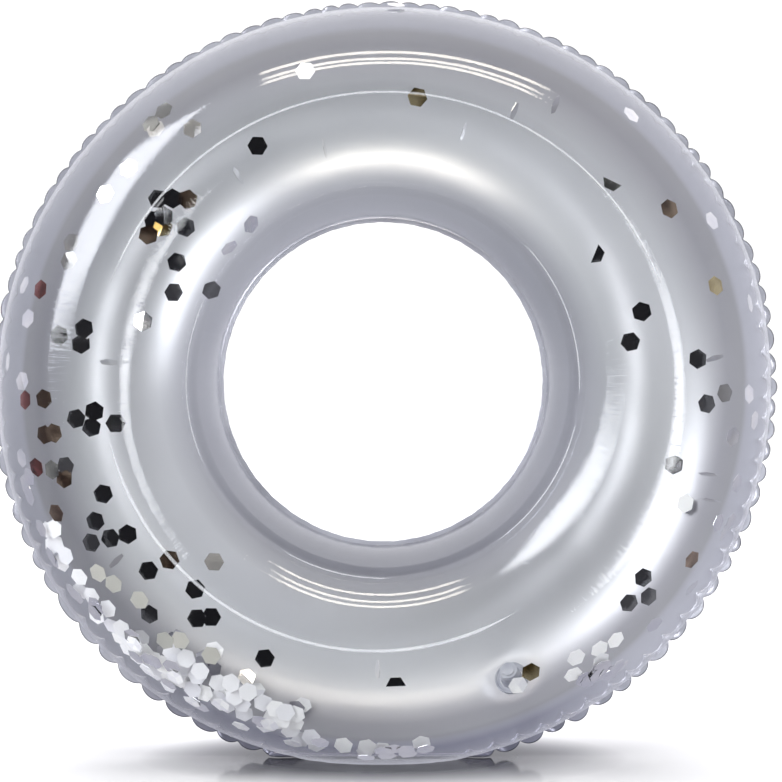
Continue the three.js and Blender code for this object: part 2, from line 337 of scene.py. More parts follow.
def add_bump(tree, shader, source, strength, distance):
    """Bump from a height, linked into the shader's normal."""
    bump = tree.nodes.new("ShaderNodeBump")
    bump.inputs["Strength"].default_value = strength
    bump.inputs["Distance"].default_value = distance
    tree.links.new(source, bump.inputs["Height"])
    tree.links.new(bump.outputs["Normal"], shader.inputs["Normal"])
    return bump


def side_only(tree, around, source):
    """Fade the pull lines out at the ring's top and foot, where the film lies smooth."""
    split = tree.nodes.new("ShaderNodeSeparateXYZ")
    square = tree.nodes.new("ShaderNodeMath")
    square.operation = "MULTIPLY"
    faded = tree.nodes.new("ShaderNodeMath")
    faded.operation = "MULTIPLY"
    tree.links.new(around.outputs["Vector"], split.inputs["Vector"])
    tree.links.new(split.outputs["X"], square.inputs[0])
    tree.links.new(split.outputs["X"], square.inputs[1])
    tree.links.new(square.outputs["Value"], faded.inputs[0])
    tree.links.new(source, faded.inputs[1])
    return faded.outputs["Value"]


def clear_material(name, face_on, edge_on, tint):
    """Clear film: it mirrors a little face-on and much more towards its edge, and passes the rest."""
    material, tree, shader = new_material(name)
    shader.inputs["Base Color"].default_value = (*tint, 1)
    shader.inputs["Metallic"].default_value = 1.0
    shader.inputs["Roughness"].default_value = 0.045
    noise = noise_node(tree, 14, 1.5)
    swell = add_bump(tree, shader, noise.outputs["Fac"], 0.25, 0.0015)
    streaks = tree.nodes.new("ShaderNodeTexNoise")
    streaks.inputs["Scale"].default_value = 55
    streaks.inputs["Detail"].default_value = 3
    around = tree.nodes.new("ShaderNodeAttribute")
    around.attribute_name = "around"
    tree.links.new(around.outputs["Vector"], streaks.inputs["Vector"])
    bump = add_bump(tree, shader, side_only(tree, around, streaks.outputs["Fac"]), 0.6, 0.0008)
    tree.links.new(swell.outputs["Normal"], bump.inputs["Normal"])
    weight = tree.nodes.new("ShaderNodeLayerWeight")
    weight.inputs["Blend"].default_value = 0.5
    tree.links.new(bump.outputs["Normal"], weight.inputs["Normal"])
    power = tree.nodes.new("ShaderNodeMath")
    power.operation = "POWER"
    power.inputs[1].default_value = 5.0
    spread = tree.nodes.new("ShaderNodeMapRange")
    spread.inputs["To Min"].default_value = face_on
    spread.inputs["To Max"].default_value = edge_on
    tree.links.new(weight.outputs["Facing"], power.inputs[0])
    tree.links.new(power.outputs["Value"], spread.inputs["Value"])
    tree.links.new(spread.outputs["Result"], shader.inputs["Alpha"])
    return material


def around_node(tree):
    """The stored place around the ring and over the tube, split in three."""
    place = tree.nodes.new("ShaderNodeAttribute")
    place.attribute_name = "around"
    split = tree.nodes.new("ShaderNodeSeparateXYZ")
    tree.links.new(place.outputs["Vector"], split.inputs["Vector"])
    return split


def over_range(tree, source, low, high, stops):
    """Colour ramp over a range of values."""
    spread = tree.nodes.new("ShaderNodeMapRange")
    spread.inputs["From Min"].default_value = low
    spread.inputs["From Max"].default_value = high
    ramp = ramp_node(tree, stops)
    tree.links.new(source, spread.inputs["Value"])
    tree.links.new(spread.outputs["Result"], ramp.inputs["Fac"])
    return ramp


def add_painted_foot_shade(tree, colour):
    """Painted shade: darkens the puckered edge where the ring stands on it."""
    split = around_node(tree)
    foot = over_range(tree, split.outputs["Y"], PAINTED_FOOT_SHADE_FROM, PAINTED_FOOT_SHADE_TO, PAINTED_FOOT_SHADE)
    edge = over_range(tree, split.outputs["Z"], 0, STREAK_LENGTH * math.pi, FOOT_EDGE)
    shaded = blend_node(tree, "MULTIPLY", colour, foot)
    tree.links.new(edge.outputs["Color"], shaded.inputs["Fac"])
    return shaded


def silver_material():
    """Satin pearl film with painted shading: darker towards both welds, lighter over the middle, and with
    painted shade at the foot.
    """
    material, tree, shader = new_material("silver_film")
    shader.inputs["Metallic"].default_value = 0.45
    shader.inputs["Roughness"].default_value = 0.33
    noise = noise_node(tree, 9, 2)
    mottle = ramp_node(tree, [(0.35, (0.96, 0.96, 0.97)), (0.65, (1.0, 1.0, 1.0))])
    tree.links.new(noise.outputs["Fac"], mottle.inputs["Fac"])
    # Painted shading over the tube, then painted shade at the foot.
    painted_shading = over_range(tree, around_node(tree).outputs["Z"], 0, STREAK_LENGTH * math.pi, SILVER_PAINTED_SHADING)
    colour = add_painted_foot_shade(tree, blend_node(tree, "MULTIPLY", mottle, painted_shading))
    tree.links.new(colour.outputs["Color"], shader.inputs["Base Color"])
    add_bump(tree, shader, noise.outputs["Fac"], 0.2, 0.0015)
    return material


def welded_material(name, dark, bright):
    """Both films pressed together: silver seen through the clear one, glossier and a little darker."""
    material, tree, shader = new_material(name)
    shader.inputs["Metallic"].default_value = 0.3
    shader.inputs["Roughness"].default_value = 0.2
    noise = noise_node(tree, 30, 2)
    ramp = ramp_node(tree, [(0.35, dark), (0.65, bright)])
    tree.links.new(noise.outputs["Fac"], ramp.inputs["Fac"])
    # Painted shade along the foot.
    colour = add_painted_foot_shade(tree, ramp)
    tree.links.new(colour.outputs["Color"], shader.inputs["Base Color"])
    return material


def pale_foil_material(name, dark, bright):
    """Frosted foil that scatters more than it mirrors, each flake a shade lighter or darker."""
    material, tree, shader = new_material(name)
    shader.inputs["Metallic"].default_value = 0.22
    shader.inputs["Roughness"].default_value = 0.3
    noise = noise_node(tree, 50, 1)
    mottle = ramp_node(tree, [(0.4, (0.94, 0.94, 0.94)), (0.6, (1.0, 1.0, 1.0))])
    tree.links.new(noise.outputs["Fac"], mottle.inputs["Fac"])
    flake = tree.nodes.new("ShaderNodeNewGeometry")
    shade = ramp_node(tree, [(0.0, dark), (1.0, bright)])
    tree.links.new(flake.outputs["Random Per Island"], shade.inputs["Fac"])
    colour = blend_node(tree, "MULTIPLY", mottle, shade)
    tree.links.new(colour.outputs["Color"], shader.inputs["Base Color"])
    return material


def painted_highlight_line_material():
    """Painted highlight: a whitish line on the clear film that stands in for the reflection of a thin
    bright light.
    """
    material, tree, shader = new_material("painted_highlight_line")
    shader.inputs["Roughness"].default_value = 0.35
    shader.inputs["Alpha"].default_value = 0.25
    noise = noise_node(tree, 40, 2)
    ramp = ramp_node(tree, [(0.4, (0.85, 0.86, 0.90)), (0.6, (0.97, 0.97, 0.99))])
    tree.links.new(noise.outputs["Fac"], ramp.inputs["Fac"])
    tree.links.new(ramp.outputs["Color"], shader.inputs["Base Color"])
    return material


def sequin_material(name, dark, bright, metallic=1.0):
    """Mirror foil with a faint mottle and a slight warp in its reflections."""
    material, tree, shader = new_material(name)
    shader.inputs["Metallic"].default_value = metallic
    shader.inputs["Roughness"].default_value = 0.06
    noise = noise_node(tree, 60, 1)
    ramp = ramp_node(tree, [(0.4, dark), (0.6, bright)])
    tree.links.new(noise.outputs["Fac"], ramp.inputs["Fac"])
    tree.links.new(ramp.outputs["Color"], shader.inputs["Base Color"])
    add_bump(tree, shader, noise.outputs["Fac"], 0.3, 0.0006)
    return material


def valve_material():
    """Clear soft vinyl, a little cloudy."""
    material, tree, shader = new_material("valve_vinyl")
    shader.inputs["Roughness"].default_value = 0.18
    shader.inputs["Alpha"].default_value = 0.8
    noise = noise_node(tree, 80, 1)
    ramp = ramp_node(tree, [(0.4, (0.42, 0.43, 0.49)), (0.6, (0.54, 0.55, 0.60))])
    tree.links.new(noise.outputs["Fac"], ramp.inputs["Fac"])
    tree.links.new(ramp.outputs["Color"], shader.inputs["Base Color"])
    return material


def floor_material():
    """Pale floor with a painted contact shadow under the foot, glossy around it, that runs into the
    backdrop without a line.
    """
    material, tree, shader = new_material("floor")
    shader.inputs["Roughness"].default_value = 0.12
    coords = tree.nodes.new("ShaderNodeTexCoord")
    squash = tree.nodes.new("ShaderNodeVectorMath")
    squash.operation = "DIVIDE"
    squash.inputs[1].default_value = PAINTED_CONTACT_SHADOW_REACH
    reach = tree.nodes.new("ShaderNodeVectorMath")
    reach.operation = "LENGTH"
    # Painted contact shadow in the floor's base colour.
    shade = ramp_node(tree, PAINTED_CONTACT_SHADOW)
    tree.links.new(coords.outputs["Object"], squash.inputs[0])
    tree.links.new(squash.outputs["Vector"], reach.inputs[0])
    tree.links.new(reach.outputs["Value"], shade.inputs["Fac"])
    tree.links.new(shade.outputs["Color"], shader.inputs["Base Color"])
    distance = tree.nodes.new("ShaderNodeVectorMath")
    distance.operation = "LENGTH"
    fade = tree.nodes.new("ShaderNodeMapRange")
    fade.inputs["From Min"].default_value = FLOOR_GLOSS_NEAR
    fade.inputs["From Max"].default_value = FLOOR_GLOSS_FAR
    fade.inputs["To Min"].default_value = FLOOR_GLOSS
    fade.inputs["To Max"].default_value = 0.0
    tree.links.new(coords.outputs["Object"], distance.inputs[0])
    tree.links.new(distance.outputs["Value"], fade.inputs["Value"])
    tree.links.new(fade.outputs["Result"], shader.inputs["Specular IOR Level"])
    return material


clear_film = clear_material("clear_film", 0.045, 0.95, (0.97, 0.98, 1.0))
welded_film = welded_material("welded_film", (0.43, 0.43, 0.49), (0.51, 0.51, 0.57))
# Tip of the flange: a painted dark outline that stands in for the edge's refraction of the dim room.
painted_dark_rim = welded_material("painted_dark_rim", (0.13, 0.13, 0.15), (0.22, 0.22, 0.25))
painted_highlight_line = painted_highlight_line_material()
silver_film = silver_material()
SEQUIN_FOILS = {
    "silver": sequin_material("sequin_silver", (0.84, 0.84, 0.86), (0.92, 0.91, 0.90)),
    "bronze": sequin_material("sequin_bronze", (0.09, 0.055, 0.04), (0.40, 0.30, 0.23), 0.8),
    "gold": sequin_material("sequin_gold", (0.20, 0.13, 0.04), (0.85, 0.72, 0.45), 0.85),
    "red": sequin_material("sequin_red", (0.10, 0.012, 0.012), (0.26, 0.07, 0.06)),
    "grey": sequin_material("sequin_grey", (0.16, 0.16, 0.16), (0.40, 0.40, 0.38), 0.8),
    "pale": pale_foil_material("sequin_pale", (0.80, 0.80, 0.85), (1.0, 1.0, 1.0)),
    "stone": pale_foil_material("sequin_stone", (0.36, 0.36, 0.34), (0.52, 0.51, 0.47)),
}
valve_vinyl = valve_material()


# ---------------------------------------------------------------- sheet shapes
def smoothstep(low, high, x):
    """0 below low and 1 above high, with a smooth rise between."""
    t = np.clip((x - low) / (high - low), 0, 1)
    return t * t * (3 - 2 * t)


def outline(theta):
    """How far the ring's outer edge bulges beyond a true circle, as it stands on the floor."""
    wide = 0.2 + 1.0 * np.cos(theta) - 3.7 * np.sin(theta)
    return wide + 2.4 * np.cos(2 * theta) + 1.1 * np.sin(2 * theta)


def near_angle(theta, centre, width):
    """1 at a clock angle in degrees, fading to 0 over a width in radians."""
    turn = np.mod(theta - math.radians(centre) + math.pi, 2 * math.pi) - math.pi
    return np.exp(-((turn / width) ** 2))


def pucker_phase(theta):
    """Counts the puckers round the outer seam: closer in the upper half, wider low down."""
    phase = PUCKERS * theta / (2 * math.pi) + 2.6 * np.sin(theta - math.radians(70))
    phase += 0.13 * np.sin(7 * theta + 1.0) + 0.08 * np.sin(17 * theta + 2.0)
    return phase + 0.05 * np.sin(29 * theta + 0.5)


def pucker_depth(theta):
    """How deep the puckers are: deepest low on the right, then low on the left."""
    depth = 1.4 + 2.6 * near_angle(theta, -42, 0.8) + 1.8 * near_angle(theta, -140, 0.8)
    depth = depth + 0.7 * near_angle(theta, 15, 0.7)
    wobble = 0.25 * np.sin(11 * theta + 0.7) + 0.2 * np.sin(23 * theta)
    return depth * (1 + 0.6 * wobble)


def pucker(theta, arc):
    """Displacement of the sheet, inward, at an arc length from the outer seam."""
    wave = np.abs(np.sin(math.pi * pucker_phase(theta)))
    crease = 1 - wave ** 0.8
    lobe = (1 - wave) ** 2.0
    near = np.exp(-arc / 7.0)
    far = 0.5 * np.exp(-((arc / 18.0) ** 2))
    return -pucker_depth(theta) * (0.75 * crease * near + 0.9 * lobe * far)


def hole_wrinkle(theta, arc):
    """Fine ripples at the inner weld, fading with the arc length from it."""
    ripple = np.sin(58 * theta + 1.5 * np.sin(5 * theta)) + 0.6 * np.sin(91 * theta + 2)
    return 0.10 * ripple * np.exp(-arc / 12.0)


def slack(theta, phi):
    """Broad unevenness of the blown-up sheet."""
    swell = np.sin(3 * theta + 2 * phi) + 0.7 * np.sin(7 * theta - 3 * phi + 1)
    return 0.12 * swell * np.sin(phi)


def tube_points(side, theta, phi, depth):
    """Points of a sheet at a depth below its outer surface."""
    radius = TUBE_R - depth
    arc = TUBE_R * phi
    push = slack(theta, phi) + hole_wrinkle(theta, TUBE_R * math.pi - arc)
    push = push + pucker(theta, arc)
    bulge = outline(theta) * np.cos(phi / 2) ** 4
    reach = RING_R + (radius + push) * np.cos(phi) + bulge
    y = side * (radius + push) * np.sin(phi)
    return np.stack([reach * np.cos(theta), y, CENTRE_Z + reach * np.sin(theta)], -1)


def sheet_axes(side, theta, phi):
    """Directions along the ring, out of the sheet, and across the tube."""
    out = Vector((
        math.cos(phi) * math.cos(theta), side * math.sin(phi), math.cos(phi) * math.sin(theta),
    ))
    along = Vector((-math.sin(theta), 0, math.cos(theta)))
    return along, out, along.cross(out)


def sheet_matrix(side, theta, phi, radius):
    """Frame of a place on the tube, with its Y axis out of the sheet."""
    along, out, across = sheet_axes(side, theta, phi)
    reach = RING_R + radius * math.cos(phi)
    place = Vector((
        reach * math.cos(theta), side * radius * math.sin(phi), CENTRE_Z + reach * math.sin(theta),
    ))
    axes = Matrix((along, out, across)).transposed().to_4x4()
    return Matrix.Translation(place) @ axes


VALVE = sheet_matrix(BACK, VALVE_THETA, VALVE_PHI, TUBE_R - VALVE_SINK)


def flatten_at_valve(points, depth):
    """Lays the back sheet flat around the valve."""
    back = np.array(VALVE.inverted())
    local = points @ back[:3, :3].T + back[:3, 3]
    reach = np.hypot(local[..., 0], local[..., 2])
    blend = (1 - smoothstep(VALVE_FLAT_R, VALVE_BLEND_R, reach)) * (local[..., 1] > -VALVE_REACH_IN)
    local[..., 1] += blend * (-depth - local[..., 1])
    ahead = np.array(VALVE)
    return local @ ahead[:3, :3].T + ahead[:3, 3]


def stand_on_foot(points, depth):
    """Presses the sheet flat on the floor, with a groove along the middle for the folded seam."""
    y = np.abs(points[..., 1])
    level = GROOVE_H * (1 - smoothstep(GROOVE_INNER, GROOVE_OUTER, y)) + depth
    over = (points[..., 2] - level) / FOOT_SOFTNESS
    raised = level + FOOT_SOFTNESS * np.logaddexp(0, np.clip(over, -60, 400))
    points[..., 2] = np.where(over > 40, points[..., 2], raised)
    return points


def mark_around(obj):
    """Stores each point's place around the ring and over the tube, for streaks and for the painted shading
    and painted shade.
    """
    places = np.zeros(len(obj.data.vertices) * 3)
    obj.data.vertices.foreach_get("co", places)
    x, y, z = (places.reshape(-1, 3) / MM).T
    reach = np.hypot(x, z - CENTRE_Z)
    phi = np.arctan2(np.abs(y), reach - RING_R)
    around = np.stack([x / reach, (z - CENTRE_Z) / reach, STREAK_LENGTH * phi], -1)
    layer = obj.data.attributes.new("around", "FLOAT_VECTOR", "POINT")
    layer.data.foreach_set("vector", around.ravel())


def grid_mesh(name, layers, faces):
    """Smooth-shaded object from points in millimetres."""
    mesh = bpy.data.meshes.new(name)
    mesh.from_pydata((np.concatenate(layers) * MM).tolist(), [], faces.tolist())
    mesh.polygons.foreach_set("use_smooth", np.ones(len(mesh.polygons), bool))
    mesh.update()
    obj = bpy.data.objects.new(name, mesh)
    scene.collection.objects.link(obj)
    return obj


def shell_faces(n, m):
    """Faces of a ring-shaped shell: outer and inner surfaces with a rim along each edge."""
    i = np.arange(n)[:, None]
    j = np.arange(m - 1)[None, :]
    a = i * m + j
    b = ((i + 1) % n) * m + j
    outer = np.stack([a, b, b + 1, a + 1], -1).reshape(-1, 4)
    inner = outer[:, ::-1] + n * m
    p = np.arange(n) * m
    q = ((np.arange(n) + 1) % n) * m
    first = np.stack([q, p, p + n * m, q + n * m], -1)
    last = np.stack([p, q, q + n * m, p + n * m], -1) + m - 1
    return np.concatenate([outer, inner, first, last])


def facing_out(obj):
    """Turns the faces outward, going by the sign of the closed mesh's volume."""
    mesh = obj.data
    mesh.calc_loop_triangles()
    co = np.zeros(len(mesh.vertices) * 3)
    mesh.vertices.foreach_get("co", co)
    co = co.reshape(-1, 3)
    tris = np.zeros(len(mesh.loop_triangles) * 3, int)
    mesh.loop_triangles.foreach_get("vertices", tris)
    a, b, c = (co[tris.reshape(-1, 3)[:, k]] for k in range(3))
    if np.einsum("ij,ij->i", a, np.cross(b, c)).sum() < 0:
        mesh.flip_normals()


def section_angles():
    """Angles over the tube, closer together near the outer seam, where the puckers are."""
    rim = math.asin(EDGE_Y / TUBE_R)
    t = np.linspace(0, 1, SECTIONS)
    return rim + (math.pi - 2 * rim) * (0.55 * t + 0.45 * t ** 2.2)


def add_sheet(name, side, material):
    """One of the tube's two sheets, a shell of the film's thickness."""
    theta = np.linspace(-math.pi, math.pi, COLUMNS, endpoint=False)[:, None]
    phi = section_angles()[None, :]
    layers = []
    for depth in (0.0, FILM_T):
        points = tube_points(side, theta, phi, depth)
        if side == BACK:
            points = flatten_at_valve(points, depth)
        layers.append(stand_on_foot(points, depth).reshape(-1, 3))
    obj = grid_mesh(name, layers, shell_faces(COLUMNS, SECTIONS))
    facing_out(obj)
    obj.data.materials.append(material)
    return obj


def cut_round_hole(obj, radius):
    """Cuts the valve's hole through the back sheet."""
    mesh = bpy.data.meshes.new("cutter")
    n = CUTTER_SIDES
    points = []
    for y in (-CUTTER_REACH, CUTTER_REACH):
        for k in range(n):
            a = 2 * math.pi * k / n
            points.append(VALVE @ Vector((radius * math.cos(a), y, radius * math.sin(a))) * MM)
    faces = [tuple(range(n)), tuple(range(2 * n - 1, n - 1, -1))]
    faces += [(k, n + k, n + (k + 1) % n, (k + 1) % n) for k in range(n)]
    mesh.from_pydata([tuple(p) for p in points], [], faces)
    cutter = bpy.data.objects.new("cutter", mesh)
    scene.collection.objects.link(cutter)
    facing_out(cutter)
    modifier = obj.modifiers.new("hole", "BOOLEAN")
    modifier.object = cutter
    modifier.operation = "DIFFERENCE"
    modifier.solver = "EXACT"
    bpy.context.view_layer.objects.active = obj
    with bpy.context.temp_override(object=obj, active_object=obj):
        bpy.ops.object.modifier_apply(modifier="hole")
    bpy.data.objects.remove(cutter)


def ring_faces(n, k):
    """Faces between n copies of a closed section of k points."""
    i = np.arange(n)[:, None]
    j = np.arange(k)[None, :]
    a = i * k + j
    b = ((i + 1) % n) * k + j
    c = ((i + 1) % n) * k + (j + 1) % k
    d = i * k + (j + 1) % k
    return np.stack([a, b, c, d], -1).reshape(-1, 4)


def add_outer_seam():
    """The welded flange: it follows the puckered edge, ruffles a little and folds over at the foot."""
    n = SEAM_COLUMNS
    theta = np.linspace(-math.pi, math.pi, n, endpoint=False)
    half = SEAM_HALF_T
    edge = RING_R + TUBE_R + outline(theta) + pucker(theta, 0.0)
    wave = np.abs(np.sin(math.pi * pucker_phase(theta)))
    width = SEAM_WIDTH + 0.7 * wave ** 0.7 + 0.25 * np.sin(41 * theta + 1)
    ruffle = 0.7 * np.sin(math.pi * pucker_phase(theta)) * pucker_depth(theta) / 2.5
    ruffle = ruffle + 0.25 * np.sin(61 * theta)
    down = -np.sin(theta)
    safe = np.maximum(down, 0.5)
    floor_r = (CENTRE_Z - FLOOR_GAP) / safe
    low = down > 0.9
    root, bend = edge - SEAM_ROOT_IN, edge + SEAM_BEND_OUT
    root = np.where(low, np.minimum(root, floor_r - 2.0), root)
    bend = np.where(low, np.minimum(bend, floor_r), bend)
    drop = (CENTRE_Z - bend * down - FLOOR_GAP) / (width * safe)
    fold = np.where(low, np.arccos(np.clip(drop, 0, 1)), 0.0)
    ruffle = ruffle * (1 - smoothstep(0.0, 0.5, fold))
    flat = np.zeros(n)

    def across(along, height, turn):
        """Point of the flange's section, at a length from the bend and a height off its middle."""
        r = bend + along * np.cos(fold) + height * np.sin(turn)
        y = ruffle * (0.35 + 0.65 * along / width) - along * np.sin(fold) + height * np.cos(turn)
        return r, y

    upper = [
        (root, flat + half), across(flat, half, fold / 2), across(width - 1.1, half, fold),
        across(width - 0.7, BEAD_HALF_T, fold), across(width - 0.15, 0.40, fold),
    ]
    lower = [
        across(width - 0.15, -0.40, fold), across(width - 0.7, -BEAD_HALF_T, fold),
        across(width - 1.1, -half, fold), across(flat, -half, fold / 2), (root, flat - half),
    ]
    section = upper + [across(width + 0.1, 0.0, fold)] + lower
    columns = [
        np.stack([r * np.cos(theta), y, CENTRE_Z + r * np.sin(theta)], -1) for r, y in section
    ]
    points = np.stack(columns, 1).reshape(-1, 3)
    count = len(section)
    obj = grid_mesh("outer_seam_visual", [points], ring_faces(n, count))
    facing_out(obj)
    obj.data.materials.append(welded_film)
    obj.data.materials.append(painted_dark_rim)
    # The bead's faces take the painted dark outline.
    on_edge = [0, 0, 0, 1, 1, 1, 1, 0, 0, 0, 0]
    obj.data.polygons.foreach_set("material_index", np.tile(on_edge, n))
    return obj


def add_inner_seam():
    """Flat weld round the hole with three fine concentric weld lines."""
    n = INNER_COLUMNS
    theta = np.linspace(-math.pi, math.pi, n, endpoint=False)
    top = [(INNER_SEAM_R, SEAM_HALF_T)]
    for line in WELD_LINES:
        before, after = line - WELD_LINE_HALF_WIDTH, line + WELD_LINE_HALF_WIDTH
        top += [(before, SEAM_HALF_T), (line, WELD_LINE_HALF_T), (after, SEAM_HALF_T)]
    top += [(INNER_ROOT_R, SEAM_HALF_T)]
    profile = top + [(r, -y) for r, y in reversed(top)]
    lip = 0.12 * np.sin(37 * theta) + 0.08 * np.sin(83 * theta + 1)
    columns = []
    for r, y in profile:
        radius = r + lip * (1 - smoothstep(INNER_SEAM_R, INNER_ROOT_R - 1, np.array(r)))
        level = np.full(n, y)
        columns.append(np.stack([radius * np.cos(theta), level, CENTRE_Z + radius * np.sin(theta)], -1))
    points = np.stack(columns, 1).reshape(-1, 3)
    obj = grid_mesh("inner_seam_visual", [points], ring_faces(n, len(profile)))
    facing_out(obj)
    obj.data.materials.append(welded_film)
    return obj


def add_highlight_ridge(name, thetas, phis, width):
    """Fine raised line along the front sheet that fades out at both ends, coloured with the painted
    highlight.
    """
    n = HIGHLIGHT_RIDGE_POINTS
    t = np.linspace(0, 1, n)
    theta = np.radians(thetas[0] + (thetas[1] - thetas[0]) * t)
    phi = np.radians(phis[0] + (phis[1] - phis[0]) * t)
    taper = np.clip(np.sin(math.pi * t) * 4, 0.08, 1)
    half = np.degrees(width / 2 / TUBE_R) * taper
    columns = []
    for step, depth in ((-1, 0.05), (0, -0.12), (1, 0.05), (0, 0.22)):
        columns.append(tube_points(FRONT, theta, phi + np.radians(step * half), depth))
    points = np.stack(columns, 1).reshape(-1, 3)
    faces = ring_faces(n, 4)[: (n - 1) * 4].tolist()
    faces += [[3, 2, 1, 0], [4 * n - 4, 4 * n - 3, 4 * n - 2, 4 * n - 1]]
    obj = grid_mesh(name, [points], np.array(faces))
    facing_out(obj)
    obj.data.materials.append(painted_highlight_line)
    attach(obj, "float")


def add_cuff():
    """Soft skirt between the valve's base and its stem."""
    outer = [
        (8.0, -0.9), (8.0, -2.0), (7.75, -3.2), (7.4, -4.6), (7.3, -6.0), (7.5, -7.0),
        (7.3, -8.0), (6.95, -9.0), (6.7, -10.6), (6.6, -12.4),
    ]
    inner = [
        (5.9, -12.4), (6.0, -10.6), (6.25, -9.0), (6.6, -8.0), (6.8, -7.0), (6.6, -6.0),
        (6.7, -4.6), (7.05, -3.2), (7.3, -2.0), (7.3, -0.9),
    ]
    n = CUFF_SIDES
    angle = np.linspace(0, 2 * math.pi, n, endpoint=False)
    columns = []
    for r, y in outer + inner:
        columns.append(np.stack([r * np.cos(angle), np.full(n, y), r * np.sin(angle)], -1))
    points = np.stack(columns, 1).reshape(-1, 3)
    ahead = np.array(VALVE)
    points = points @ ahead[:3, :3].T + ahead[:3, 3]
    obj = grid_mesh("cuff_visual", [points], ring_faces(n, len(outer + inner)))
    facing_out(obj)
    obj.data.materials.append(valve_vinyl)
    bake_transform(obj)
    return obj


# ---------------------------------------------------------------- extra sequins
def sequin_part(matrix, bend, fold=0.0):
    """Hexagonal plate creased a little across its middle, or folded there by an angle each side."""
    points = []
    for y in (-SEQUIN_T / 2, SEQUIN_T / 2):
        for k in range(6):
            a = math.pi * k / 3
            x, z = SEQUIN_R * math.cos(a), SEQUIN_R * math.sin(a)
            lift = (bend - math.sin(fold)) * abs(z)
            points.append(matrix @ Vector((x, y + lift, z * math.cos(fold))))
    faces = [(0, 3, 2, 1), (0, 5, 4, 3), (6, 7, 8, 9), (6, 9, 10, 11)]
    faces += [(k, (k + 1) % 6, 6 + (k + 1) % 6, 6 + k) for k in range(6)]
    return points, faces


def add_sequins(name, placements, body, foil="silver"):
    """Sequins of one foil as one object that rides on a body."""
    points, faces = [], []
    for side, theta, phi, gap, spin, tip_x, tip_z, bend in placements:
        matrix = sheet_matrix(side, math.radians(theta), math.radians(phi), TUBE_R - FILM_T - gap)
        matrix = matrix @ Matrix.Rotation(math.radians(tip_x), 4, "X")
        matrix = matrix @ Matrix.Rotation(math.radians(tip_z), 4, "Z")
        matrix = matrix @ Matrix.Rotation(math.radians(spin), 4, "Y")
        part, sides = sequin_part(matrix, bend)
        faces += [tuple(k + len(points) for k in face) for face in sides]
        points += part
    sequin_object(name, points, faces, body, foil)


def sequin_object(name, points, faces, body, foil):
    """Object from sequin plates in millimetres."""
    mesh = bpy.data.meshes.new(name)
    mesh.from_pydata([tuple(p * MM) for p in points], [], faces)
    mesh.update()
    obj = bpy.data.objects.new(name, mesh)
    scene.collection.objects.link(obj)
    obj.data.materials.append(SEQUIN_FOILS[foil])
    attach(obj, body)
    return obj


def add_folded_sequin(node, theta, phi, spin, tip, foil="silver"):
    """A sequin folded in the middle, in place of a flat one: one half faces out, the other inwards."""
    matrix = sheet_matrix(FRONT, math.radians(theta), math.radians(phi), TUBE_R - FILM_T - FOLDED_GAP)
    matrix = matrix @ Matrix.Rotation(math.radians(spin), 4, "Y")
    matrix = matrix @ Matrix.Rotation(math.radians(tip), 4, "X")
    points, faces = sequin_part(matrix, 0.0, math.radians(FOLDED_HALF_ANGLE))
    piece = sequin_object(node + "_folded", points, faces, "float", foil)
    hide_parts(node)


def scattered(count, side, thetas, phis, gaps, tilt, lean=0, spacing=0):
    """Seeded sequins over a patch of sheet. A lean turns them to face further outwards."""
    rows = []
    for _ in range(TRIES * count):
        theta, phi = random.uniform(*thetas), random.uniform(*phis)
        across = RING_R + TUBE_R * math.cos(math.radians(phi))
        near = [
            math.hypot(math.radians(theta - row[1]) * across, math.radians(phi - row[2]) * TUBE_R)
            for row in rows
        ]
        if len(rows) < count and min(near, default=spacing) >= spacing:
            rows.append((
                side, theta, phi, random.uniform(*gaps), random.uniform(0, 60),
                lean + random.uniform(-tilt, tilt), random.uniform(-tilt, tilt),
                random.uniform(-0.04, 0.04),
            ))
    return rows


def clinging(spots, gap=2.5, tilt=4):
    """Sequins close to the front sheet at listed angles, theta and phi."""
    rows = []
    for theta, phi in spots:
        tip_x = random.uniform(-tilt, tilt)
        tip_z = random.uniform(-tilt, tilt)
        bend = random.uniform(-0.03, 0.03)
        rows.append((FRONT, theta, phi, gap, random.uniform(0, 60), tip_x, tip_z, bend))
    return rows


def slivers(spots):
    """Sequins seen nearly edge-on, held off the sheet."""
    rows = []
    for theta, phi, turn in spots:
        rows.append((FRONT, theta, phi, 9.0, random.uniform(0, 60), 0, turn, random.uniform(-0.05, 0.05)))
    return rows


# ---------------------------------------------------------------- assembly
front = add_sheet("front_film_visual", FRONT, clear_film)
back = add_sheet("back_film_visual", BACK, silver_film)
cut_round_hole(back, FILM_HOLE_R)
outer_seam = add_outer_seam()
inner_seam = add_inner_seam()
for sheet in (front, back, outer_seam, inner_seam):
    mark_around(sheet)
cuff = add_cuff()

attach(front, "float")
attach(back, "float")
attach(outer_seam, "float")
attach(inner_seam, "float")
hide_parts("front_film")
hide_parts("back_film")
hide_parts("outer_weld_seam")
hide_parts("inner_weld_seam")
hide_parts("valve_cuff")

# Raised lines with a painted highlight: the angles from end to end, theta then phi, and the width.
add_highlight_ridge("highlight_ridge_upper", (18, 160), (88.5, 90.5), 1.6)
add_highlight_ridge("highlight_ridge_lower", (193, 300), (96.0, 102.0), 2.4)
for i, span in enumerate([(-54, -12), (-4, 44), (155, 205), (240, 272)]):
    add_highlight_ridge(f"crease_inner_{i}", span, (140.5, 140.0), 1.1)

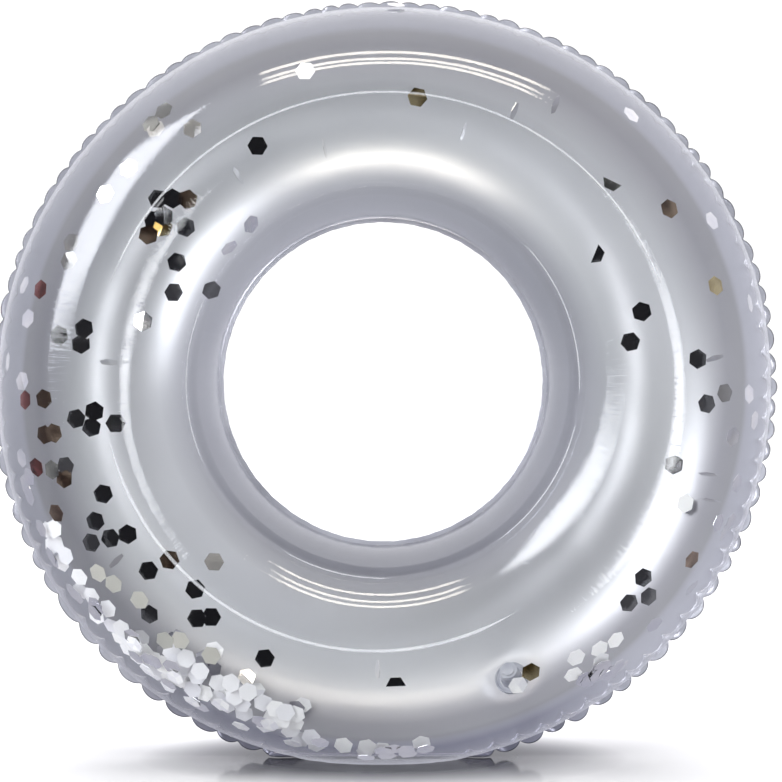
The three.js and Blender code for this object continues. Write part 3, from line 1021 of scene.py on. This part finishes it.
# Sequins of the CAD model that aren't silver.
TINTED = {
    "clinging_sequin_01": "pale", "clinging_sequin_02": "gold", "clinging_sequin_05": "bronze",
    "clinging_sequin_17": "pale", "clinging_sequin_18": "gold", "clinging_sequin_21": "pale",
    "clinging_sequin_24": "bronze", "clinging_sequin_29": "bronze",
}
for number in range(1, 13):
    TINTED[f"loose_sequin_{number:02d}"] = "pale"
for node_name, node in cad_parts.items():
    if "sequin" in node_name:
        node.data.materials.clear()
        node.data.materials.append(SEQUIN_FOILS[TINTED.get(node_name, "silver")])
    elif node_name in ("valve_flange", "valve_stem", "valve_flap", "valve_plug", "plug_tether"):
        node.data.materials.clear()
        node.data.materials.append(valve_vinyl)

# The loose heap, low on the left.
heap = scattered(8, FRONT, (-136, -103), (28, 50), (3.4, 4.2), 5)
heap += scattered(8, FRONT, (-133, -104), (6, 24), (8.0, 12.0), 14)
heap += scattered(8, BACK, (-136, -103), (26, 52), (4.5, 8.0), 12)
add_sequins("sequins_loose_more", heap, "loose_sequins")
drift = scattered(20, FRONT, (-138, -124), (22, 40), (6.0, 10.0), 8, -24, 6.5)
drift += scattered(30, FRONT, (-128, -104), (36, 58), (6.0, 10.0), 8, -22, 6.5)
drift += scattered(11, FRONT, (-156, -140), (27, 44), (5.5, 7.5), 8, -22, 9.0)
drift += scattered(8, FRONT, (-103, -82), (28, 42), (5.5, 7.5), 8, -24, 9.0)
add_sequins("sequins_loose_pale", drift, "loose_sequins", "pale")

# Sequins that cling near the outer seam.
edge = scattered(12, FRONT, (-166, -141), (26, 44), (1.2, 1.6), 2)
edge += scattered(8, FRONT, (-100, -76), (26, 44), (1.2, 1.6), 2)
edge += scattered(10, FRONT, (-58, -48), (26, 48), (1.8, 5.0), 8)
edge += scattered(6, FRONT, (-44, -12), (26, 44), (1.8, 3.0), 6)
edge += clinging([
    (47, 42), (26, 40), (12, 27), (88, 24), (127, 76), (132, 62), (140, 67), (146, 65), (156, 61),
    (159, 64), (165, 34), (177, 27), (180, 46), (-168, 37), (-39, 60), (-6, 30), (-2, 40),
])
add_sequins("sequins_outer_band", edge, "float")
add_sequins("sequins_stone", clinging([
    (-143, 64), (-138, 70), (-128, 69), (-130, 63), (-122, 72), (-146, 60),
], 1.6, 2), "float", "stone")
pale = clinging([(-55, 62), (-51, 57), (-57, 53), (-52, 49), (-48, 54), (-22, 69)], 4.5)
add_sequins("sequins_pale", pale, "float", "pale")

# Sequins that cling over the middle of the tube.
middle = clinging([
    (143, 98), (-128, 84), (-133, 112), (-151, 66), (-165, 69), (-171, 100), (-135, 68), (172, 70),
    (150, 117), (157, 123), (166, 112), (170, 46), (-174, 90),
])
middle += clinging([(145, 95), (-171, 87), (173, 82), (141, 90), (-150, 76), (142, 111)], 5.0)
middle += clinging([(130, 137), (139, 138), (152, 145)], 3.0, 30)
add_sequins("sequins_middle", middle, "float")
add_sequins("sequins_grey", clinging([(129, 56), (132, 57), (-165, 60)]), "float", "grey")
add_sequins("sequins_bronze", clinging([
    (148, 97), (-158, 53), (-163, 66), (-171, 60), (-30, 49), (137, 102), (-177, 62),
]), "float", "bronze")
add_sequins("sequins_gold", clinging([(16, 56), (145, 101)], 4.0), "float", "gold")
add_sequins("sequins_red", clinging([(165, 51), (-166, 49), (-177, 48)]), "float", "red")
thin = slivers([
    (58, 67, 68), (64, 83, 74), (72, 105, 80), (125, 111, 74), (4, 62, 70), (-16, 58, 76),
    (-20, 49, 78), (-146, 70, 70), (176, 98, 72), (104, 118, 82), (-91, 90, 75),
])
add_sequins("sequins_edge_on", thin, "float")

add_folded_sequin("clinging_sequin_03", 41, 82, 24, 50, "grey")
add_folded_sequin("clinging_sequin_06", 31, 112, 126, 44)
add_folded_sequin("clinging_sequin_19", -87.5, 81.5, 0, 42)

mesh = bpy.data.meshes.new("floor")
corners = [
    (-FLOOR_SIDE, FLOOR_NEAR_EDGE, 0), (FLOOR_SIDE, FLOOR_NEAR_EDGE, 0),
    (FLOOR_SIDE, FLOOR_SIDE, 0), (-FLOOR_SIDE, FLOOR_SIDE, 0),
]
mesh.from_pydata(corners, [], [(0, 1, 2, 3)])
floor = bpy.data.objects.new("floor", mesh)
scene.collection.objects.link(floor)
floor.data.materials.append(floor_material())
floor.visible_glossy = False
add_linked_suns(floor)
